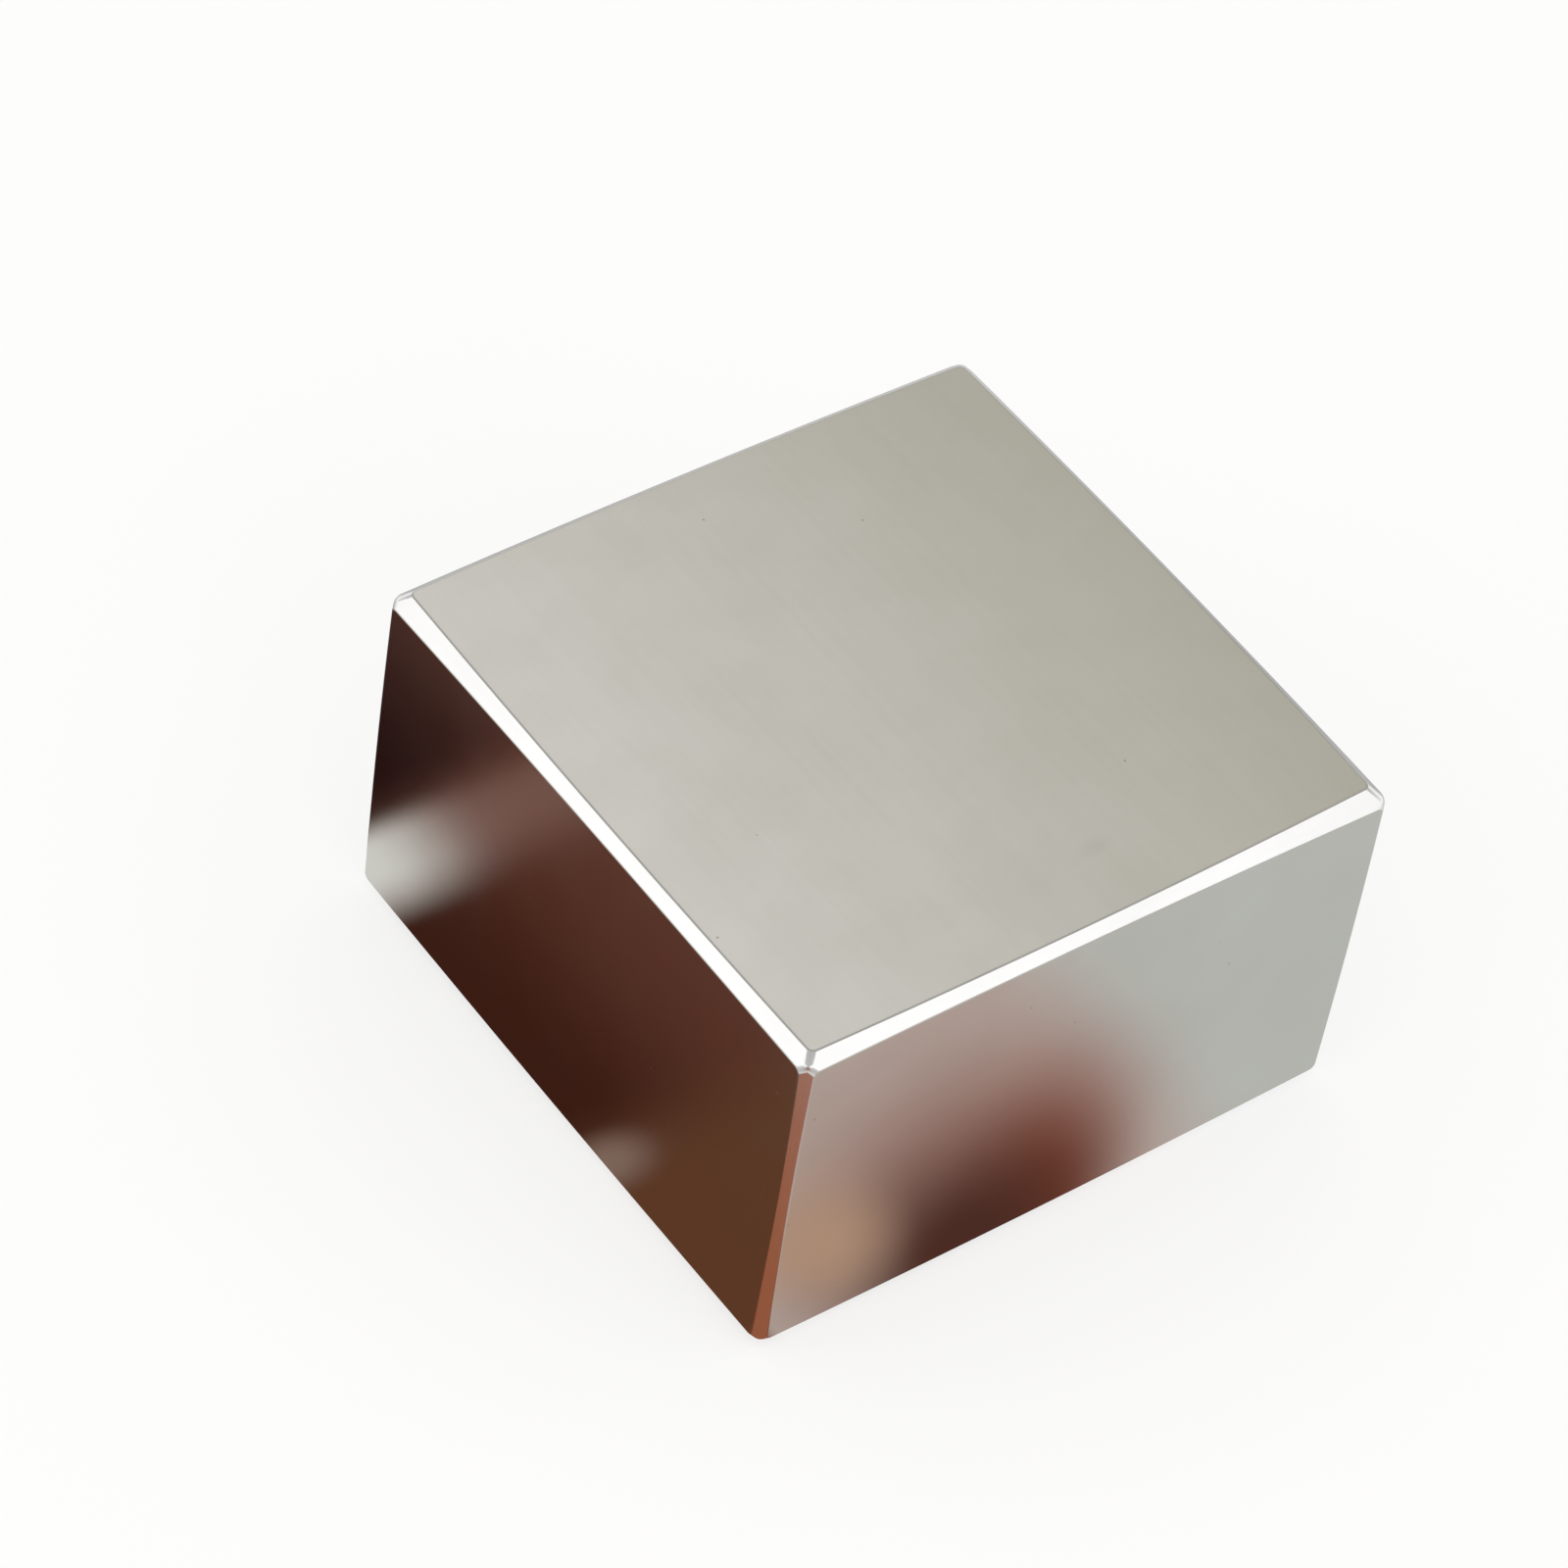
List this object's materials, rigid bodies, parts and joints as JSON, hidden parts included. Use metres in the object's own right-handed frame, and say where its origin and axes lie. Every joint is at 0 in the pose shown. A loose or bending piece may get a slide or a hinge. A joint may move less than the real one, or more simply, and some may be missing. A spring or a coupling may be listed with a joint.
{
  "type": "block magnet",
  "caption": "Thick square block magnet, nickel-plated, with ground chamfers on all edges; holds steel or another magnet against either pole face.",
  "frame": {"origin": "centre of the lower pole face", "axes": "+Z through the thickness, from the lower pole face to the upper one, which is also the direction the block is magnetised in; +X and +Y square to the upright sides, with -Y the front"},
  "size_m": [0.05, 0.05, 0.03],
  "materials": {
    "nickel_plating": "gloss"
  },
  "bodies": {
    "root": {"magnet_block": "nickel_plating"}
  },
  "joints": []
}
